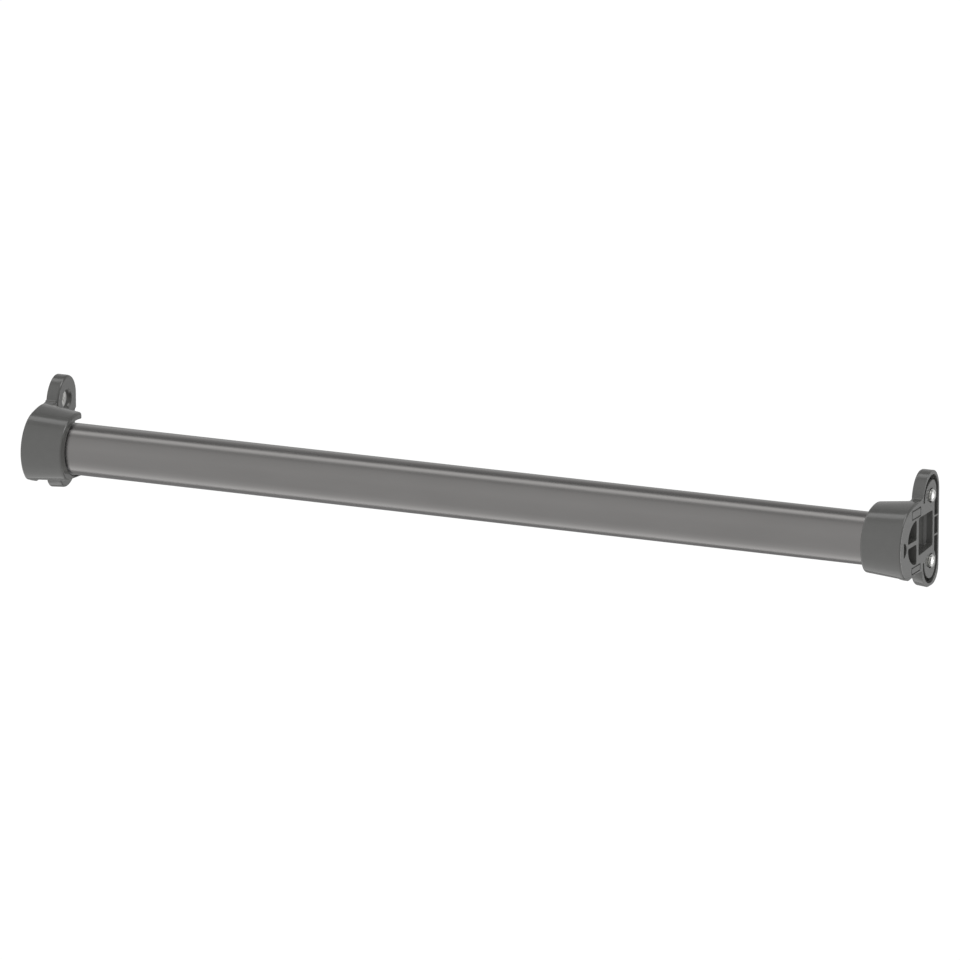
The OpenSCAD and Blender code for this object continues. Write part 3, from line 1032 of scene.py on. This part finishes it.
def floor_material():
    """Pale floor that is just white in the picture."""
    s = settings().stage
    material = bpy.data.materials.new("PaleFloor")
    material.use_nodes = True
    shader = material.node_tree.nodes["Principled BSDF"]
    shader.inputs["Base Color"].default_value = (*s.floor_colour, 1.0)
    shader.inputs["Roughness"].default_value = s.floor_roughness
    shader.inputs["Specular IOR Level"].default_value = 0.0
    shader.inputs["Emission Color"].default_value = (1.0, 1.0, 1.0, 1.0)
    shader.inputs["Emission Strength"].default_value = s.floor_glow
    return material


# Light of the studio by its angle about the rail, in degrees from the front over the top,
# with its strength
STUDIO_LIGHT = (
    (-180, 0.45), (-165, 0.3), (-125, 0.38), (-108, 0.42), (-102, 1.4), (-88, 1.15), (-70, 0.85),
    (-45, 0.74), (0, 0.74), (20, 0.76), (50, 0.72), (66, 0.67), (80, 0.45), (87, 0.5), (92, 1.25),
    (106, 1.45), (112, 0.27), (125, 0.29), (140, 0.42), (150, 0.56), (162, 0.66), (180, 0.45),
)
# Share of the way to the right side where the studio's light starts to fade
SIDE_START = 0.25
# Lights that the screws and the top of the rail mirror: direction, size and power
SOFTBOXES = {
    "EndSoftbox": ((0.4, 0.88, -0.245), 0.8, 0.75),
    "SideSoftbox": ((0.7, 0.68, -0.23), 0.8, 4.5),
    "TopSoftbox": ((0.62, -0.05, 0.78), 1.2, 9.0),
}
SOFTBOX_DISTANCE = 2.6
# The point that the camera looks at
AIM = Vector((-2.81, 18.68, 1.97)) * MM


def build_world():
    """Soft studio light that changes with its angle about the rail and fades to the right side."""
    world = bpy.data.worlds.new("Studio")
    bpy.context.scene.world = world
    world.use_nodes = True
    nodes = world.node_tree.nodes
    strongest = max(strength for _, strength in STUDIO_LIGHT)
    place, parts = nodes.new("ShaderNodeTexCoord"), nodes.new("ShaderNodeSeparateXYZ")
    front = add_node(nodes, "ShaderNodeMath", {1: -1.0}, operation="MULTIPLY")
    angle = add_node(nodes, "ShaderNodeMath", operation="ARCTAN2")
    turn = add_node(nodes, "ShaderNodeMapRange", {"From Min": -math.pi, "From Max": math.pi})
    ramp = nodes.new("ShaderNodeValToRGB")
    ramp.color_ramp.interpolation = "EASE"
    elements = ramp.color_ramp.elements
    while len(elements) > 1:
        elements.remove(elements[-1])
    for i, (degrees, strength) in enumerate(STUDIO_LIGHT):
        position = (degrees + 180) / 360
        element = elements[0] if i == 0 else elements.new(position)
        element.position = position
        level = strength / strongest
        element.color = (level, level, level, 1.0)
    fade = {"From Min": SIDE_START, "To Min": 1.0, "To Max": settings().stage.side_light}
    side = add_node(nodes, "ShaderNodeMapRange", fade)
    dimmed = add_node(nodes, "ShaderNodeVectorMath", operation="SCALE")
    light = nodes["Background"]
    light.inputs["Strength"].default_value = strongest
    join(
        world.node_tree,
        (place, "Generated", parts, 0),
        (parts, "Y", front, 0),
        (parts, "Z", angle, 0),
        (front, 0, angle, 1),
        (angle, 0, turn, "Value"),
        (turn, 0, ramp, "Fac"),
        (parts, "X", side, "Value"),
        (ramp, "Color", dimmed, 0),
        (side, 0, dimmed, "Scale"),
        (dimmed, 0, light, "Color"),
    )


def add_softbox(name, direction, size, power):
    """A square light that faces the origin from a direction and isn't seen itself."""
    data = bpy.data.lights.new(name, "AREA")
    data.size = size
    data.energy = power
    light = add_object(name, data)
    towards = Vector(direction).normalized()
    light.location = towards * SOFTBOX_DISTANCE
    light.rotation_mode = "QUATERNION"
    light.rotation_quaternion = towards.to_track_quat("Z", "Y")
    light.visible_camera = False


def add_camera(s):
    """The camera, at the photograph's angle."""
    data = bpy.data.cameras.new("Camera")
    data.lens = s.lens
    data.sensor_width = s.sensor
    data.clip_start, data.clip_end = 0.1, 100.0
    camera = add_object("Camera", data)
    bpy.context.scene.camera = camera
    level = math.cos(s.elevation)
    across, ahead = math.sin(s.azimuth) * level, -math.cos(s.azimuth) * level
    back = Vector((across, ahead, math.sin(s.elevation)))
    camera.location = AIM + back * s.distance
    camera.rotation_mode = "QUATERNION"
    camera.rotation_quaternion = (-back).to_track_quat("-Z", "Y")


class CLOTHESRAIL_OT_stage(bpy.types.Operator):
    """Build the floor, the soft light and the camera"""

    bl_idname = "clothes_rail.stage"
    bl_label = "Build Stage"

    def execute(self, context):
        s = settings().stage
        level = BRACKET_LOW.z - s.floor_drop
        ring = [(x, y, level) for x, y in circle(s.floor_radius, FLOOR_FACES)]
        floor = mesh_object("floor", ring, [tuple(range(FLOOR_FACES))])
        floor.data.materials.append(floor_material())
        floor.visible_glossy = False
        build_world()
        for name, values in SOFTBOXES.items():
            add_softbox(name, *values)
        add_camera(s)
        context.scene.view_settings.view_transform = "Standard"
        return {"FINISHED"}


class ClothesRailSettings(bpy.types.PropertyGroup):
    """All settings of the clothes rail."""

    tube: PointerProperty(type=TubeSettings)
    bracket: PointerProperty(type=BracketSettings)
    screw: PointerProperty(type=ScrewSettings)
    stage: PointerProperty(type=StageSettings)


class CLOTHESRAIL_PT_panel(bpy.types.Panel):
    """Settings and operators of the clothes rail"""

    bl_label = "Clothes Rail"
    bl_space_type = "VIEW_3D"
    bl_region_type = "UI"
    bl_category = "Clothes Rail"

    def draw(self, context):
        sections = (
            ("tube", CLOTHESRAIL_OT_tube),
            ("bracket", CLOTHESRAIL_OT_brackets),
            ("screw", CLOTHESRAIL_OT_screws),
            ("stage", CLOTHESRAIL_OT_stage),
        )
        for name, operator in sections:
            box = self.layout.box()
            group = getattr(context.scene.clothes_rail, name)
            for key in group.bl_rna.properties.keys():
                if key not in ("name", "rna_type"):
                    box.prop(group, key)
            box.operator(operator.bl_idname)


CLASSES = (
    TubeSettings,
    BracketSettings,
    ScrewSettings,
    StageSettings,
    ClothesRailSettings,
    CLOTHESRAIL_OT_tube,
    CLOTHESRAIL_OT_brackets,
    CLOTHESRAIL_OT_screws,
    CLOTHESRAIL_OT_stage,
    CLOTHESRAIL_PT_panel,
)


def register():
    """Registers the classes and the scene's settings."""
    for cls in CLASSES:
        bpy.utils.register_class(cls)
    bpy.types.Scene.clothes_rail = PointerProperty(type=ClothesRailSettings)


def unregister():
    """Removes the settings and the classes."""
    del bpy.types.Scene.clothes_rail
    for cls in reversed(CLASSES):
        bpy.utils.unregister_class(cls)


def main():
    """Builds every piece and the stage."""
    register()
    bpy.ops.clothes_rail.tube()
    bpy.ops.clothes_rail.brackets()
    bpy.ops.clothes_rail.screws()
    bpy.ops.clothes_rail.stage()


if __name__ == "__main__":
    main()
